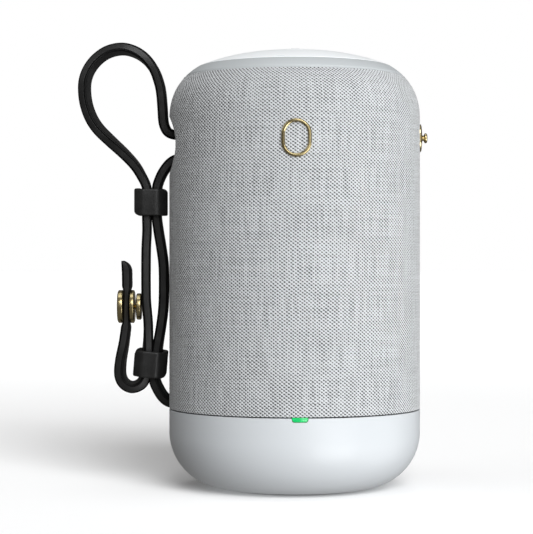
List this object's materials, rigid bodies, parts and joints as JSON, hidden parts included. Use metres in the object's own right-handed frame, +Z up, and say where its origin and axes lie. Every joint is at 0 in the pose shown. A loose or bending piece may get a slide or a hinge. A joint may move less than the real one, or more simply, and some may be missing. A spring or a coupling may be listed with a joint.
{
  "type": "smart speaker",
  "caption": "Portable cylindrical speaker with a fabric sleeve, a plastic base cup, a domed button cap and a black cord strap with sliding keepers and a brass snap.",
  "frame": {"origin": "centre of the foot pad's underside, where the speaker stands", "axes": "+Z up along the body's axis, -Y to the front with the badge, +X to the side with the ball stud, -X to the side with the strap"},
  "size_m": [0.1388, 0.101, 0.1767],
  "materials": {
    "white_plastic": "smooth satin",
    "cap_plastic": "smooth satin",
    "grey_fabric": "woven",
    "dark_plastic": "moulded",
    "black_leather": "fine grain",
    "black_rubber": "matt",
    "brass_metal": "polished",
    "steel_metal": "plain",
    "ferrite": "sintered",
    "circuit_board": "solder mask",
    "cell_wrap": "shrink wrap",
    "cone_paper": "pressed paper",
    "coil_copper": "enamelled wire",
    "green_lens": "lit lens",
    "ribbon_film": "film"
  },
  "bodies": {
    "housing": {"base_shell": "white_plastic", "foot_pad": "black_rubber", "base_screw_1": "steel_metal", "base_screw_2": "steel_metal", "base_screw_3": "steel_metal", "base_screw_4": "steel_metal", "battery_tray": "dark_plastic", "battery_cell_1": "cell_wrap", "battery_cell_2": "cell_wrap", "main_board": "circuit_board", "usb_board": "circuit_board", "usb_socket": "steel_metal", "led_board": "circuit_board", "led_lens": "green_lens", "chassis_plate": "dark_plastic", "lower_diffuser": "dark_plastic", "lower_strut_1": "steel_metal", "lower_strut_2": "steel_metal", "lower_strut_3": "steel_metal", "radiator_frame": "dark_plastic", "radiator_surround": "black_rubber", "enclosure": "dark_plastic", "driver_frame": "steel_metal", "driver_magnet": "ferrite", "driver_yoke": "steel_metal", "driver_surround": "black_rubber", "driver_spider": "cone_paper", "upper_strut_1": "steel_metal", "upper_strut_2": "steel_metal", "upper_strut_3": "steel_metal", "upper_diffuser": "dark_plastic", "upper_plate": "dark_plastic", "control_board": "circuit_board", "top_ring": "white_plastic", "top_cap": "cap_plastic", "grille_tube": "dark_plastic", "fabric_sleeve": "grey_fabric", "recess_cup": "dark_plastic", "strap_bar": "steel_metal", "ribbon_cable": "ribbon_film", "front_badge": "brass_metal", "stud_plate": "brass_metal", "ball_stud": "brass_metal", "stud_nut": "steel_metal", "strap": "black_leather", "strap_clamp": "steel_metal", "snap_socket_outer": "brass_metal", "snap_socket_inner": "brass_metal", "snap_stud": "brass_metal"},
    "cone_group": {"driver_cone": "cone_paper", "dust_cap": "cone_paper", "voice_coil": "coil_copper"},
    "radiator_group": {"passive_radiator": "steel_metal"},
    "volume_up": {"volume_up_button": "cap_plastic"},
    "voice": {"voice_button": "cap_plastic"},
    "volume_down": {"volume_down_button": "cap_plastic"},
    "power": {"power_button": "cap_plastic"},
    "upper_slider": {"upper_keeper": "black_leather"},
    "lower_slider": {"lower_keeper": "black_leather"}
  },
  "joints": [
    {"name": "volume_up_press", "type": "slide", "parent": "housing", "child": "volume_up", "axis": [0, 0, -1], "range_m": [0, 0.0005], "stiffness_N_per_m": 1000},
    {"name": "voice_press", "type": "slide", "parent": "housing", "child": "voice", "axis": [0, 0, -1], "range_m": [0, 0.0005], "stiffness_N_per_m": 1000},
    {"name": "volume_down_press", "type": "slide", "parent": "housing", "child": "volume_down", "axis": [0, 0, -1], "range_m": [0, 0.0005], "stiffness_N_per_m": 1000},
    {"name": "power_press", "type": "slide", "parent": "housing", "child": "power", "axis": [0, 0, -1], "range_m": [0, 0.0005], "stiffness_N_per_m": 1000},
    {"name": "cone_travel", "type": "slide", "parent": "housing", "child": "cone_group", "axis": [0, 0, 1], "range_m": [-0.002, 0.002], "stiffness_N_per_m": 1500, "deforming": ["driver_surround", "driver_spider"]},
    {"name": "radiator_travel", "type": "slide", "parent": "housing", "child": "radiator_group", "axis": [0, 0, 1], "range_m": [-0.0025, 0.0025], "stiffness_N_per_m": 1500, "deforming": ["radiator_surround"]},
    {"name": "upper_keeper_slide", "type": "slide", "parent": "housing", "child": "upper_slider", "axis": [0, 0, -1], "range_m": [0, 0.008], "deforming": ["strap"]},
    {"name": "lower_keeper_slide", "type": "slide", "parent": "housing", "child": "lower_slider", "axis": [0.1045, 0, 0.9945], "range_m": [0, 0.004], "deforming": ["strap"]}
  ]
}
